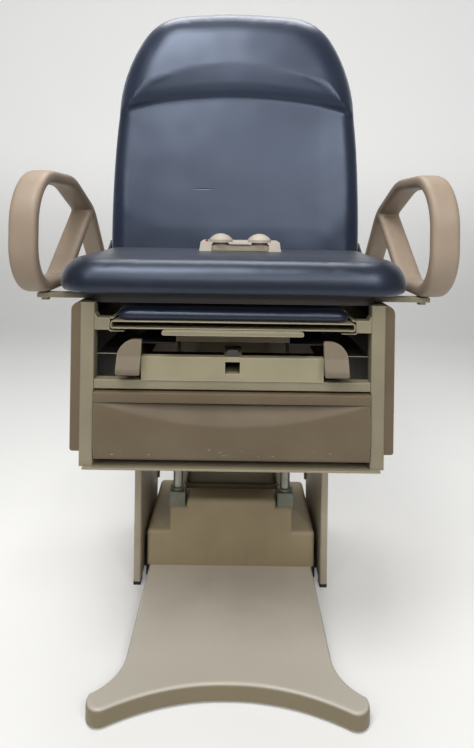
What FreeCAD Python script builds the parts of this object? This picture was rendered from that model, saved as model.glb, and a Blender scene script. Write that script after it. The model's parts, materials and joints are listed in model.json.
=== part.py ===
import FreeCAD, Part
import math
import os

# Powered examination table, millimetres, +Z up, the foot end towards -Y.
# The origin is on the floor under the middle of the part's box.

# Frame and lift
SEAT_FRONT = -450.0                   # Y of the seat's front edge
TRAVEL = 450.0                        # how far the whole upper part sinks
STAGES = 3                            # moving lift stages, each a third of the travel
STEP = TRAVEL / STAGES

# Upholstery
SEAT_WIDTH = 752.0
SEAT_DEPTH = 445.0
SEAT_TOP = 940.0
PAD_THICK = 72.0
PAD_BOTTOM = SEAT_TOP - PAD_THICK
PAD_DRAW = 4.0                        # how far the seat's straight sides pull in
PAD_ROLL = 56.0                       # how far in the rolled edge reaches on top
PAD_WAIST = 0.42                      # height of the widest line, as a share of the thickness
PAD_TUCK = 0.3                        # how far the edge tucks under, as a share of the roll
PAD_CROWN = 3.0
SEAT_WAIST = 0.24                     # the seat's widest line is lower, with less of a tuck
SEAT_TUCK = 0.14
SEAT_ROLL = 46.0                      # and a tighter roll
FRONT_CORNER = 95.0
BACK_CORNER = 40.0
LEAST_CORNER = 8.0
BACK_WIDTH = 730.0
BACK_LENGTH = 772.0                   # from the hinge line to the ends of the top edge
BACK_SWELL = 7.0                      # how far the back's straight sides swell out
BACK_ANGLE = 80.0                     # stored with the back raised
SHOULDER = 330.0                      # length of the rounded top of the back
SHOULDER_R = 500.0
SHOULDER_TURN = math.radians(30)
TOP_TURN = math.radians(83)           # where the shoulders pass into the arched top edge
PILLOW_RISE = 28.0                    # how far the head pillow stands out of the back
PILLOW_ARCH = 288.0                   # middle of its arched lower edge, down from the back's top
PILLOW_LIFT = (100.0, 86.0)           # how far that edge rolls up, in its middle and at its ends
LEG_PAD_HALF = 244.0
LEG_PAD_THICK = 27.0
LEG_PAD_ROLL = 22.0
LEG_PAD_CORNER = 30.0
HINGE_Y = SEAT_FRONT + 490.0
HINGE_Z = SEAT_TOP - PAD_THICK / 2
HINGE_R = 8.0
ARM_X = BACK_WIDTH / 2 + 6            # the back's hinge arms, just outside its cushion
ARM_THICK = 6.0
EYE_R = 20.0                          # hinge eye of a bracket
ARM_EYE_R = 16.0

# Gas springs that hold the back, one each side
GAS_X = 278.5
GAS_Y = SEAT_FRONT + 575.0
GAS_Z = 575.0
GAS_LUG = (60.0, -75.0)               # lug on the back, from the hinge with the back flat
GAS_BARREL = 215.0
GAS_BARREL_R = 7.0
GAS_ROD_R = 4.0
GAS_EYE = 6.0                         # half width of the eyes

# Upper body
CHASSIS_TOP = 848.0
CHASSIS_BOTTOM = 510.0
CHASSIS_FRONT = SEAT_FRONT + 30.0
CHASSIS_BACK = SEAT_FRONT + 730.0
POST_IN = 286.0
POST_OUT = 315.0
POST_DEEP = 30.0
RAIL_TUBE = POST_IN + 3               # inner face of the side rails and ends of the beams
COVER_OUT = 335.0
COVER_LOW = 540.0
REAR_THICK = 6.0
FLANGE_OUT = 307.0
FLANGE_THICK = 4.0
BAY_BACK = SEAT_FRONT + 390.0         # pull-out pieces end here, ahead of the lift
SHEET = 2.5
BOARD_HALF = 301.0
BOARD_CORNER = 40.0
BACK_BOARD_HALF = 262.0
BACK_BOARD_THICK = 12.0

# Pull-out pieces
GUIDE_X = 254.0                       # inner face of the leg extension's guides
GUIDE_LOW = 788.5
GUIDE_TOP = 817.5
TRAY_HALF = 251.0
TRAY_LOW = 796.0
TRAY_TOP = 812.5
TRAY_FRONT = CHASSIS_FRONT - 8
GRIP_HALF = 144.0
GRIP_LOW = 786.5
PAN_LIP_HALF = 120.0
PAN_LOW = 764.0
PAN_TOP = 779.0
STIRRUP_X = 209.0                     # middle of a stirrup's bar
STIRRUP_Z = 720.0
STIRRUP_TUBE = 16.0                   # half the width of its square tube
BAR_LOW = 689.0                       # crossbar between the stirrups
BAR_TOP = 738.0
DRAWER_HALF = POST_IN - 2
DRAWER_LOW = 525.0
DRAWER_TOP = 665.5
BIN_HALF = 262.0                      # open tray of the drawer
BIN_LOW = 535.0
BIN_TOP = 655.0
SLIDE_Z = 580.0

# Assist rails
RAIL_IN = 398.0
RAIL_WIDE = 58.0
RAIL_HALF = 14.0                      # half the band's thickness
RAIL_TOP = 1112.0
RAIL_EDGE = 10.0
BAR_THICK = 10.0
FRONT_BAR = SEAT_FRONT + 85.0
REAR_BAR = SEAT_FRONT + 588.0
BAR_DEEP = 30.0

# Lift and base
FLOOR_GAP = 6.0
FOOT_TOP = 42.0
FOOT_HALF = 230.0
FOOT_SKIN = 8.0                       # thickness over the plate's hollow underside
FOOT_ROUND = 9.0
POCKET_HALF = 205.0
TOE_HALF = 290.0
TOE_R = 29.0
TOE_TURNS = (-118.0, -45.0, 24.0)     # start, middle and end of a toe's round, in degrees
BASE_FRONT = SEAT_FRONT - 6.0
BASE_BACK = -BASE_FRONT
PAN_HALF = 240.0                      # base pan behind the plate
PAN_WALL = 8.0
PAN_SKIN = 6.0
PAN_CORNER = 45.0
SHROUD_FRONT = SEAT_FRONT + 428.0
SHROUD_BACK = SEAT_FRONT + 715.0
PLATE_BACK = SHROUD_FRONT + 10.0      # where plate and pan meet
SHROUD_HALF = 237.0
SHROUD_STEP = 140.0                   # height of the shroud's outer steps
LEDGE_HALF = 175.0
LEDGE_Z = 208.0                       # the guide blocks stand here
MIDDLE_HALF = 127.0
SHROUD_TOP = 229.0
SHROUD_WALL = 4.0
SHROUD_ROUND = 12.0
INLET_X = (128.0, 160.0)
INLET_Z = (66.0, 88.0)
LIFT_Y = SEAT_FRONT + 575.0
LIFT_TOP = 806.0
LIFT_PLATE = 10.0
STAGE_LOW = 52.0                      # underside of every stage when the table is down
STAGE_LAP = 50.0
STAGE_HALF = (139.0, 86.0)            # half width and half depth of the outermost tube
STAGE_NEST = 9.0                      # each tube is this much smaller all round than the last
STAGE_WALL = 5.0
STAGE_CORNER = 14.0
ROD_X = 153.0
ROD_RADII = (13.5, 10.4, 7.3)
RAM_RADII = (32.0, 27.0, 22.0, 17.0)
BLOCK = 46.0
BLOCK_TALL = 40.0
COLLAR_TALL = 7.0
SLEEVE_R = ROD_RADII[0] + 4.5
ROD_Y = SHROUD_FRONT + BLOCK / 2
UPRIGHT_IN = 249.0
UPRIGHT_OUT = 269.0
UPRIGHT_FRONT = SEAT_FRONT + 402.0
UPRIGHT_TOP = 345.0
GLIDE = 12.0                          # height of the glides under the side panels
FOOT_R = 22.0
SCREW_R = 5.0
SCREW_LONG = 20.0
FOOT_SPOTS = (                        # four under the plate, two under the pan
    (TOE_HALF - TOE_R, BASE_FRONT + TOE_R), (TOE_R - TOE_HALF, BASE_FRONT + TOE_R),
    (190, SHROUD_FRONT - 30), (-190, SHROUD_FRONT - 30),
    (200, BASE_BACK - 40), (-200, BASE_BACK - 40))

# Hand control
CONTROL_X = 14.0                      # it lies a little to the right of the middle
CONTROL_Y = SEAT_FRONT + 327.0
CONTROL_HALF = 103.0
CONTROL_DEEP = 130.0
CONTROL_TALL = 24.0
CONTROL_TAPER = 4.0
BUTTON_X = 49.0
BUTTON_Y = CONTROL_Y - 42             # their wells open through the housing's front
BUTTON_R = 29.5
BUTTON_RISE = 15.0
BUTTON_SINK = 1.0                     # how far the caps sit in their wells
BUTTON_STEM_R = 18.5
BUTTON_TRAVEL = 6.0

# Gaps
GAP = 0.3
FIT = 0.05


def gas_reach(degrees):
    """Length and slope of a gas spring, with the back at an angle above flat."""
    turn = math.radians(degrees)
    across, up = GAS_LUG
    y = HINGE_Y + across * math.cos(turn) - up * math.sin(turn) - GAS_Y
    z = HINGE_Z + across * math.sin(turn) + up * math.cos(turn) - GAS_Z
    return math.hypot(y, z), math.atan2(z, y)


GAS_LONG, GAS_REST = gas_reach(BACK_ANGLE)
GAS_SHORT, GAS_FLAT = gas_reach(0)

V = FreeCAD.Vector
ACROSS = V(1, 0, 0)
CENTRE = V(0, 0, 0)


def box(x0, x1, y0, y1, z0, z1):
    return Part.makeBox(x1 - x0, y1 - y0, z1 - z0, V(x0, y0, z0))


def post(x, y, z0, z1, radius):
    return Part.makeCylinder(radius, z1 - z0, V(x, y, z0))


def pin_x(x0, x1, y, z, radius):
    return Part.makeCylinder(radius, x1 - x0, V(x0, y, z), ACROSS)


def mirrored(shape):
    return shape.mirror(CENTRE, ACROSS)


def pair(shape):
    return Part.makeCompound([shape, mirrored(shape)])


def fused(first, *others):
    return first.multiFuse(list(others)).removeSplitter()


def soften(shape, radius, wanted):
    """Round the edges for which wanted(edge) is true."""
    return shape.makeFillet(radius, [edge for edge in shape.Edges if wanted(edge)])


def is_upright(edge):
    return abs(edge.tangentAt(edge.FirstParameter).z) > 0.99


def at_height(z):
    return lambda edge: abs(edge.BoundBox.ZMin - z) < 0.01 and edge.BoundBox.ZLength < 0.01


def in_plan(z):
    return V(1, 0, 0), V(0, 1, 0), V(0, 0, z)


def in_side(x):
    return V(0, 1, 0), V(0, 0, 1), V(x, 0, 0)


def in_front(y):
    return V(1, 0, 0), V(0, 0, 1), V(0, y, 0)


def placed(edges, plane):
    """Move edges drawn flat in X and Y into another plane and join them."""
    u, v, origin = plane
    n = u.cross(v)
    frame = FreeCAD.Matrix(
        u.x, v.x, n.x, origin.x,
        u.y, v.y, n.y, origin.y,
        u.z, v.z, n.z, origin.z,
        0, 0, 0, 1)
    return Part.Wire([edge.transformed(frame, copy=True) for edge in edges])


def line(start, end):
    return Part.LineSegment(start, end).toShape()


def arc(start, middle, end):
    return Part.Arc(start, middle, end).toShape()


def arc_about(centre, start, end):
    """The shorter arc round a centre."""
    middle = ((start + end) * 0.5 - centre).normalize()
    return arc(start, centre + middle * start.distanceToPoint(centre), end)


def polar(centre, radius, angle):
    return centre + V(radius * math.cos(angle), radius * math.sin(angle), 0)


def corner(before, at, after, radius):
    """Tangent points and centre of a rounded corner."""
    a = (before - at).normalize()
    b = (after - at).normalize()
    half = a.getAngle(b) / 2
    reach = radius / math.tan(half)
    middle = (a + b).normalize() * (radius / math.sin(half))
    return at + a * reach, at + b * reach, at + middle


def drawn_in(start, end, inside, depth):
    """An edge that bows towards a point inside the outline."""
    middle = (start + end) * 0.5
    across = V(start.y - end.y, end.x - start.x, 0).normalize()
    if across.dot(inside - middle) < 0:
        across = across * -1
    return arc(start, middle + across * depth, end)


def outline(corners, plane, draw=0.0):
    """A closed outline of (u, v, radius) corners; draw bows its straight runs inwards."""
    flat = [V(u, v, 0) for u, v, _ in corners]
    inside = V()
    for point in flat:
        inside = inside + point * (1.0 / len(flat))
    turns = []
    for i, (_, _, radius) in enumerate(corners):
        turns.append(corner(flat[i - 1], flat[i], flat[(i + 1) % len(flat)], radius))
    edges = []
    for i, (start, end, centre) in enumerate(turns):
        following = turns[(i + 1) % len(turns)][0]
        edges.append(arc_about(centre, start, end))
        if draw:
            edges.append(drawn_in(end, following, inside, draw))
        else:
            edges.append(line(end, following))
    return placed(edges, plane)


def oblong(half, v0, v1, near, far, plane, draw=0.0):
    """A rounded outline, symmetric about the middle, with one radius at v0 and another at v1."""
    return outline([(-half, v0, near), (half, v0, near), (half, v1, far), (-half, v1, far)], plane, draw)


def polygon(points, plane):
    """A closed outline of straight runs."""
    flat = [V(u, v, 0) for u, v in points]
    return placed([line(flat[i - 1], flat[i]) for i in range(len(flat))], plane)


def prism(wire, travel):
    return Part.Face(wire).extrude(travel)


def pad_profile(thick, roll, widest=PAD_WAIST, tuck=PAD_TUCK):
    """Rise and inset of the sections of a pad: tucked under, rolled over, then crowned."""
    waist = thick * widest
    shoulder = thick - PAD_CROWN - waist
    sections = []
    for share in (1.0, 0.66, 0.33):
        sections.append((waist * (1 - share), roll * tuck * share ** 2.5))
    for degrees in (0, 20, 38, 54, 68, 80, 90):
        turn = math.radians(degrees)
        sections.append((waist + shoulder * math.sin(turn), roll * (1 - math.cos(turn))))
    sections.append((thick, roll * 2.2))
    return sections


def left_of(start, end):
    along = (end - start).normalize()
    return V(-along.y, along.x, 0)


def band_side(points, radii, offset):
    """One edge line of a strip: its points and edges, offset to the left of the path."""
    last = points[0] + left_of(points[0], points[1]) * offset
    first = last
    edges = []
    for i, radius in enumerate(radii):
        start, end, centre = corner(points[i], points[i + 1], points[i + 2], radius)
        outer = (start - centre).dot(left_of(points[i], points[i + 1])) > 0
        scale = (radius + (offset if outer else -offset)) / radius
        near = centre + (start - centre) * scale
        far = centre + (end - centre) * scale
        edges.append(line(last, near))
        edges.append(arc_about(centre, near, far))
        last = far
    tip = points[-1] + left_of(points[-2], points[-1]) * offset
    edges.append(line(last, tip))
    return first, tip, edges


def band(path, radii, half, plane):
    """The outline of a strip of even thickness along a path of runs and rounded turns."""
    points = [V(u, v, 0) for u, v in path]
    first_l, tip_l, left = band_side(points, radii, half)
    first_r, tip_r, right = band_side(points, radii, -half)
    edges = left + [line(tip_l, tip_r)] + right + [line(first_r, first_l)]
    return placed(Part.__sortEdges__(edges), plane)


# Floor base

def screw_hole(x, y):
    return post(x, y, FLOOR_GAP, FLOOR_GAP + SCREW_LONG + 4, SCREW_R + FIT)


def foot_plate():
    """Pale floor plate that flares into two toes round a hollowed front edge."""
    arch = V(0, BASE_FRONT + 62, 0)
    flare = V(FOOT_HALF + 12, BASE_FRONT + 88, 0)
    flank = V(FOOT_HALF, SEAT_FRONT + 130, 0)
    heel = V(FOOT_HALF, PLATE_BACK, 0)
    toe = V(TOE_HALF - TOE_R, BASE_FRONT + TOE_R, 0)
    haunch = V(toe.x * 0.55, BASE_FRONT + 44, 0)
    inner, tip, outer = (polar(toe, TOE_R, math.radians(turn)) for turn in TOE_TURNS)
    right = [arc(arch, haunch, inner), arc(inner, tip, outer), arc(outer, flare, flank), line(flank, heel)]
    edges = right + [mirrored(edge) for edge in right] + [line(heel, V(-heel.x, heel.y, 0))]
    wire = placed(Part.__sortEdges__(edges), in_plan(FLOOR_GAP))
    plate = prism(wire, V(0, 0, FOOT_TOP - FLOOR_GAP))
    plate = soften(plate, FOOT_ROUND, at_height(FOOT_TOP))
    for x, y in FOOT_SPOTS[:4]:
        plate = plate.cut(screw_hole(x, y))
    pocket_corner = 20.0
    pocket = oblong(POCKET_HALF, flank.y - 40, heel.y - 75, pocket_corner, pocket_corner, in_plan(FLOOR_GAP))
    return plate.cut(prism(pocket, V(0, 0, FOOT_TOP - FLOOR_GAP - FOOT_SKIN)))


def levelling_feet():
    """Screw feet under the plate and pan, and square glides under the side panels."""
    feet = []
    for x, y in FOOT_SPOTS:
        pad = post(x, y, 0, FLOOR_GAP, FOOT_R)
        feet.append(fused(pad, post(x, y, FLOOR_GAP, FLOOR_GAP + SCREW_LONG, SCREW_R)))
    half = 14.0
    for y in (UPRIGHT_FRONT + 18, SHROUD_BACK - 18):
        glide = box(UPRIGHT_IN, UPRIGHT_OUT, y - half, y + half, 0, GLIDE)
        feet += [glide, mirrored(glide)]
    return Part.makeCompound(feet)


def base_frame():
    """Folded steel pan that carries the lift and reaches back under the raised back."""
    wall = PAN_WALL
    sharp = 3.0
    boss = 14.0
    outer = oblong(PAN_HALF, PLATE_BACK, BASE_BACK, sharp, PAN_CORNER, in_plan(FLOOR_GAP))
    inner = oblong(PAN_HALF - wall, PLATE_BACK + wall, BASE_BACK - wall, sharp, PAN_CORNER - wall,
                   in_plan(FLOOR_GAP))
    rise = FOOT_TOP - FLOOR_GAP
    pan = prism(outer, V(0, 0, rise)).cut(prism(inner, V(0, 0, rise - PAN_SKIN)))
    for x, y in FOOT_SPOTS[4:]:
        pan = pan.fuse(post(x, y, FLOOR_GAP, FOOT_TOP - PAN_SKIN, boss)).cut(screw_hole(x, y))
    return pan.removeSplitter()


def shroud_body(inset, bottom):
    """The stepped outer form of the base shroud, shrunk by inset."""
    front = SHROUD_FRONT + inset
    back = SHROUD_BACK - inset
    behind_blocks = front + BLOCK + 2
    steps = ((SHROUD_HALF, front, SHROUD_STEP), (LEDGE_HALF, front, LEDGE_Z),
             (MIDDLE_HALF, front, SHROUD_TOP), (LEDGE_HALF, behind_blocks, SHROUD_TOP))
    solids = []
    for half, near, top in steps:
        step = box(inset - half, half - inset, near, back, bottom, top - inset)
        rounds = SHROUD_ROUND - inset
        solids.append(soften(step, rounds, lambda e: is_upright(e) or at_height(top - inset)(e)))
    return fused(*solids)


def base_shroud():
    """Thin stepped cover over the foot of the lift, open below."""
    shell = shroud_body(0, FOOT_TOP).cut(shroud_body(SHROUD_WALL, FOOT_TOP - 1))
    half, deep = (size + 2 for size in STAGE_HALF)
    low = SHROUD_STEP + 10
    high = SHROUD_TOP + 1
    shell = shell.cut(box(-half, half, LIFT_Y - deep, LIFT_Y + deep, low, high))
    for x in (-ROD_X, ROD_X):
        shell = shell.cut(post(x, ROD_Y, low, high, SLEEVE_R + 1))
    return shell.cut(box(*INLET_X, SHROUD_BACK - 2 * SHROUD_WALL, SHROUD_BACK + 1, *INLET_Z))


def base_upright():
    """Hollow side panel beside the shroud, standing on glides, with a lip along its rear edge."""
    panel = box(UPRIGHT_IN, UPRIGHT_OUT, UPRIGHT_FRONT, SHROUD_BACK, GLIDE, UPRIGHT_TOP)
    hollow = box(UPRIGHT_IN + SHEET, UPRIGHT_OUT - SHEET, UPRIGHT_FRONT + SHEET, SHROUD_BACK - SHEET,
                 GLIDE, UPRIGHT_TOP - SHEET)
    lip = box(UPRIGHT_IN - 7, UPRIGHT_IN + SHEET, SHROUD_BACK - 12, SHROUD_BACK - 8,
              SHROUD_STEP + 10, UPRIGHT_TOP)
    return fused(soften(panel, 5.0, is_upright).cut(hollow), lip)


def upright_brackets():
    """Angle irons that tie each side panel to the base pan."""
    near = SHROUD_FRONT + 40
    far = SHROUD_BACK - 20
    thick = 4.0
    tall = 90.0
    foot = box(PAN_HALF, UPRIGHT_IN, near, far, GLIDE, FOOT_TOP)
    return pair(fused(foot, box(UPRIGHT_IN - thick, UPRIGHT_IN, near, far, FOOT_TOP, tall)))


def guide_blocks():
    """Square bearing blocks on the shroud's ledge, with their sleeves below."""
    half = BLOCK / 2
    top = LEDGE_Z + BLOCK_TALL
    block = box(ROD_X - half, ROD_X + half, ROD_Y - half, ROD_Y + half, LEDGE_Z, top)
    block = soften(block, 3.0, lambda e: is_upright(e) or at_height(top)(e))
    collar = post(ROD_X, ROD_Y, top, top + COLLAR_TALL, SLEEVE_R)
    sleeve = post(ROD_X, ROD_Y, FOOT_TOP, LEDGE_Z, SLEEVE_R)
    bore = post(ROD_X, ROD_Y, FOOT_TOP + 4, top + 2 * COLLAR_TALL, ROD_RADII[0] + GAP)
    return pair(fused(block, collar, sleeve).cut(bore))


# Lift stages: stage 0 is fixed to the base, stage 3 to the upper body.

def stage_span(stage):
    """Lowest and highest point of a stage with the table up."""
    low = STAGE_LOW + STEP * stage
    if stage == 0:
        return FOOT_TOP, LEDGE_Z + 32
    if stage == STAGES:
        return low, LIFT_TOP
    return low, STAGE_LOW + STEP * (stage + 1) + STAGE_LAP


def column_stage(stage):
    """One rectangular tube of the telescopic column."""
    half, deep = (size - STAGE_NEST * stage for size in STAGE_HALF)
    low, high = stage_span(stage)
    rise = V(0, 0, high - low)
    wall = STAGE_WALL
    bend = STAGE_CORNER - wall
    tube = prism(oblong(half, -deep, deep, STAGE_CORNER, STAGE_CORNER, in_plan(low)), rise)
    bore = prism(oblong(half - wall, wall - deep, deep - wall, bend, bend, in_plan(low)), rise)
    return tube.cut(bore).translated(V(0, LIFT_Y, 0))


def guide_rods(stage):
    """One telescoping piece of the two side guide rods."""
    low, high = stage_span(stage)
    rod = post(ROD_X, ROD_Y, low, high, ROD_RADII[stage - 1])
    if stage < STAGES:
        rod = rod.cut(post(ROD_X, ROD_Y, low, high, ROD_RADII[stage] + GAP))
    return pair(rod)


def ram_stage(stage):
    """One tube, or the last rod, of the hydraulic lift ram inside the column."""
    low, high = stage_span(stage)
    tube = post(0, LIFT_Y, low, high, RAM_RADII[stage])
    if stage < STAGES:
        floor = 8.0 if stage == 0 else 0.0
        tube = tube.cut(post(0, LIFT_Y, low + floor, high, RAM_RADII[stage + 1] + GAP))
    return tube


def pump_motor():
    """Pump and motor lying across the back of the shroud on a cradle."""
    left, right = -30.0, 110.0
    radius = 19.0
    inset = 20.0
    y = SHROUD_BACK - 32
    motor = pin_x(left, right, y, FOOT_TOP + 30, radius)
    return fused(motor, box(left + inset, right - inset, y - inset, y + inset, FOOT_TOP, FOOT_TOP + 12))


def oil_tank():
    """Oil tank of the pump, beside it."""
    left, right = -140.0, -32.0
    tank = box(left, right, SHROUD_BACK - 50, SHROUD_BACK - 12, FOOT_TOP, FOOT_TOP + 80)
    return soften(tank, 6.0, is_upright)


def power_inlet():
    """Mains inlet in the rear wall of the shroud."""
    (x0, x1), (z0, z1) = INLET_X, INLET_Z
    wall = 4.0
    back = SHROUD_BACK
    rim = box(x0 - 2 * wall, x1 + 2 * wall, back, back + wall, z0 - 6, z1 + 6)
    body = box(x0, x1, back - 3 * wall, back, z0, z1)
    socket = box(x0 + wall, x1 - wall, back - 2 * wall, back + 2 * wall, z0 + wall, z1 - wall)
    return fused(rim, body).cut(socket)


def lift_plate():
    """Steel plate on top of the column that the cross beams stand on."""
    half = 210.0
    return box(-half, half, SHROUD_FRONT, SHROUD_BACK - 15, LIFT_TOP, LIFT_TOP + LIFT_PLATE)


# Upper body frame

def frame_posts():
    """Four corner posts."""
    posts = []
    for y in (CHASSIS_FRONT, CHASSIS_BACK - POST_DEEP):
        bar = box(POST_IN, POST_OUT, y, y + POST_DEEP, CHASSIS_BOTTOM, CHASSIS_TOP)
        bar = soften(bar, 3.0, is_upright)
        posts += [bar, mirrored(bar)]
    return Part.makeCompound(posts)


def side_rails():
    """Upper and lower rails between the posts; the lower ones carry the pins of the gas springs."""
    half = 14.0
    ear = box(RAIL_TUBE, RAIL_TUBE + 8, GAS_Y - half, GAS_Y + half, CHASSIS_BOTTOM + 20, GAS_Z + half)
    pin = pin_x(GAS_X - 8, RAIL_TUBE, GAS_Y, GAS_Z, GAS_ROD_R)
    rails = []
    for low, high in ((CHASSIS_BOTTOM + 4, CHASSIS_BOTTOM + 30), (CHASSIS_TOP - 28, CHASSIS_TOP)):
        rail = box(RAIL_TUBE, POST_OUT, CHASSIS_FRONT + POST_DEEP, CHASSIS_BACK - POST_DEEP, low, high)
        if low < GAS_Z:
            rail = fused(rail, ear, pin)
        rails += [rail, mirrored(rail)]
    return Part.makeCompound(rails)


def seat_beams():
    """Two cross beams on the lift plate."""
    deep = 30.0
    beams = []
    for y in (SEAT_FRONT + 466, SEAT_FRONT + 660):
        beams.append(box(-RAIL_TUBE, RAIL_TUBE, y, y + deep, LIFT_TOP + LIFT_PLATE, CHASSIS_TOP))
    return Part.makeCompound(beams)


def front_rail():
    """Bar over the drawer."""
    inset = 2.0
    gap = 4.5
    return box(-POST_IN, POST_IN, CHASSIS_FRONT + inset, CHASSIS_FRONT + POST_DEEP - inset,
               DRAWER_TOP + gap, BAR_LOW)


def stirrup_crossbar():
    """Front bar between the stirrups, with a square socket tube behind its middle and a latch on top."""
    half = 188.0
    thick = 20.0
    reach = 120.0
    wall = 3.5
    socket_half, socket_low, socket_high = 15.5, 704.0, 729.0
    latch_half, latch_top, latch_thick = 13.0, 753.0, 4.0
    front = CHASSIS_FRONT
    bar = box(-half, half, front, front + thick, BAR_LOW, BAR_TOP)
    tube = box(-socket_half - wall, socket_half + wall, front + thick, front + reach,
               socket_low - wall, socket_high + wall)
    latch = oblong(latch_half, BAR_TOP - 8, latch_top, 1, 8, in_front(front + latch_thick))
    socket = box(-socket_half, socket_half, front - 1, front + reach + 1, socket_low, socket_high)
    return fused(bar, tube, prism(latch, V(0, latch_thick, 0))).cut(socket)


def bottom_flanges():
    """Thin flanges under the frame at the front and along both sides."""
    low = CHASSIS_BOTTOM - FLANGE_THICK
    inner = CHASSIS_FRONT + 70
    front = box(-FLANGE_OUT, FLANGE_OUT, CHASSIS_FRONT - 6, inner, low, CHASSIS_BOTTOM)
    side = box(POST_IN, FLANGE_OUT, inner, CHASSIS_BACK, low, CHASSIS_BOTTOM)
    return Part.makeCompound([front, side, mirrored(side)])


def side_cover():
    """Moulded panel over one side of the frame, rounded along its outer top edge, hollow inside."""
    front = CHASSIS_FRONT + 4
    rim = 10.0
    wall = 4.0
    corners = [(POST_OUT, COVER_LOW, 1), (COVER_OUT, COVER_LOW, 6), (COVER_OUT, CHASSIS_TOP, 17),
               (POST_OUT, CHASSIS_TOP, 1)]
    cover = prism(outline(corners, in_front(front)), V(0, CHASSIS_BACK - front, 0))
    hollow = box(POST_OUT - 1, COVER_OUT - wall, front + rim, CHASSIS_BACK - rim,
                 COVER_LOW + rim, CHASSIS_TOP - 2 * rim)
    return cover.cut(hollow)


def rear_cover():
    """Flat panel across the back of the frame."""
    back = CHASSIS_BACK
    return box(-POST_OUT, POST_OUT, back, back + REAR_THICK, CHASSIS_BOTTOM, CHASSIS_TOP - 4)


def cover_screws():
    """Round-headed screws that hold the rear cover to its posts."""
    x = (POST_IN + POST_OUT) / 2
    radius, tall = 6.0, 3.0
    count, pitch = 4, 80.0
    screws = []
    for number in range(count):
        z = CHASSIS_BOTTOM + 41 + pitch * number
        head = Part.makeCylinder(radius, tall, V(x, CHASSIS_BACK + REAR_THICK, z), V(0, 1, 0))
        screws += [head, mirrored(head)]
    return Part.makeCompound(screws)


def extension_guides():
    """C-shaped guides of the leg extension, bent from strip and held off the posts by flared blocks."""
    bend = 4.0
    lip, shelf = 8.0, 30.0
    deep = 26.0
    low, high = GUIDE_LOW + 3, GUIDE_TOP - 1
    web = GUIDE_X + SHEET / 2
    strip = [(GUIDE_X - lip, GUIDE_TOP - SHEET / 2), (web, GUIDE_TOP - SHEET / 2),
             (web, GUIDE_LOW + SHEET / 2), (GUIDE_X - shelf, GUIDE_LOW + SHEET / 2)]
    section = band(strip, (bend, bend), SHEET / 2, in_front(CHASSIS_FRONT))
    channel = prism(section, V(0, BAY_BACK - CHASSIS_FRONT, 0))
    outer = GUIDE_X + SHEET
    flare = [(outer, low), (POST_IN, low), (POST_IN, high + 9), (POST_IN - 6, high), (outer, high)]
    front_block = prism(polygon(flare, in_front(CHASSIS_FRONT + 2)), V(0, deep, 0))
    rear_block = box(outer, RAIL_TUBE, BAY_BACK - deep, BAY_BACK, low, high + 5)
    return pair(fused(channel, front_block, rear_block))


def stirrup_tubes():
    """Square tubes that hold the stirrup bars, each with its thin shelf plate."""
    half = STIRRUP_TUBE
    bore = half - SHEET
    x, z = STIRRUP_X, STIRRUP_Z
    front = CHASSIS_FRONT + 20
    outer = box(x - half, x + half, front, BAY_BACK, z - half, z + half)
    tube = outer.cut(box(x - bore, x + bore, front - 1, BAY_BACK + 1, z - bore, z + bore))
    return pair(fused(tube, box(x - 4, POST_IN, front + 4, BAY_BACK, z + half, BAR_TOP)))


def drawer_runners():
    """Channels beside the drawer that its slides run in."""
    half = 20.0
    wall = 5.0
    inner = 272.0
    runner = box(inner, RAIL_TUBE, CHASSIS_FRONT + 40, BAY_BACK, SLIDE_Z - half, SLIDE_Z + half)
    groove = box(inner - 1, RAIL_TUBE - wall, CHASSIS_FRONT, BAY_BACK - wall - 1,
                 SLIDE_Z - half + wall, SLIDE_Z + half - wall)
    return pair(runner.cut(groove))


def seat_board():
    """Plywood under the seat cushion."""
    front = SEAT_FRONT + 34
    back = SEAT_FRONT + SEAT_DEPTH - 22
    wire = oblong(BOARD_HALF, front, back, BOARD_CORNER, LEAST_CORNER, in_plan(CHASSIS_TOP))
    return prism(wire, V(0, 0, PAD_BOTTOM - CHASSIS_TOP))


def seat_cushion():
    """Seat pad: crowned, rolled over at its edges, with drawn-in sides."""
    sections = []
    for rise, inset in pad_profile(PAD_THICK, SEAT_ROLL, SEAT_WAIST, SEAT_TUCK):
        near = max(FRONT_CORNER - inset, 3 * LEAST_CORNER)
        far = max(BACK_CORNER - inset, LEAST_CORNER)
        sections.append(oblong(SEAT_WIDTH / 2 - inset, SEAT_FRONT + inset, SEAT_FRONT + SEAT_DEPTH - inset,
                               near, far, in_plan(PAD_BOTTOM + rise), PAD_DRAW))
    return Part.makeLoft(sections, True, True)


def back_hinge_bracket():
    """Cranked plate on the frame that carries one end of the back's hinge."""
    x = ARM_X + ARM_THICK + 2
    half = 28.0
    flange = box(RAIL_TUBE, x + ARM_THICK, HINGE_Y - half, HINGE_Y + half,
                 CHASSIS_TOP, CHASSIS_TOP + ARM_THICK)
    plate = box(x, x + ARM_THICK, HINGE_Y - EYE_R, HINGE_Y + EYE_R, CHASSIS_TOP, HINGE_Z)
    eye = pin_x(x, x + ARM_THICK, HINGE_Y, HINGE_Z, EYE_R)
    hole = pin_x(x - 1, x + ARM_THICK + 1, HINGE_Y, HINGE_Z, HINGE_R + FIT)
    return fused(flange, plate, eye).cut(hole)


def hinge_pin():
    """Headed pin through a bracket and an arm."""
    head_r, head_tall = 13.0, 5.0
    end = ARM_X + 2 * ARM_THICK + 2
    head = pin_x(end, end + head_tall, HINGE_Y, HINGE_Z, head_r)
    return fused(pin_x(ARM_X - 1, end, HINGE_Y, HINGE_Z, HINGE_R), head)


# Assist rails

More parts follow.
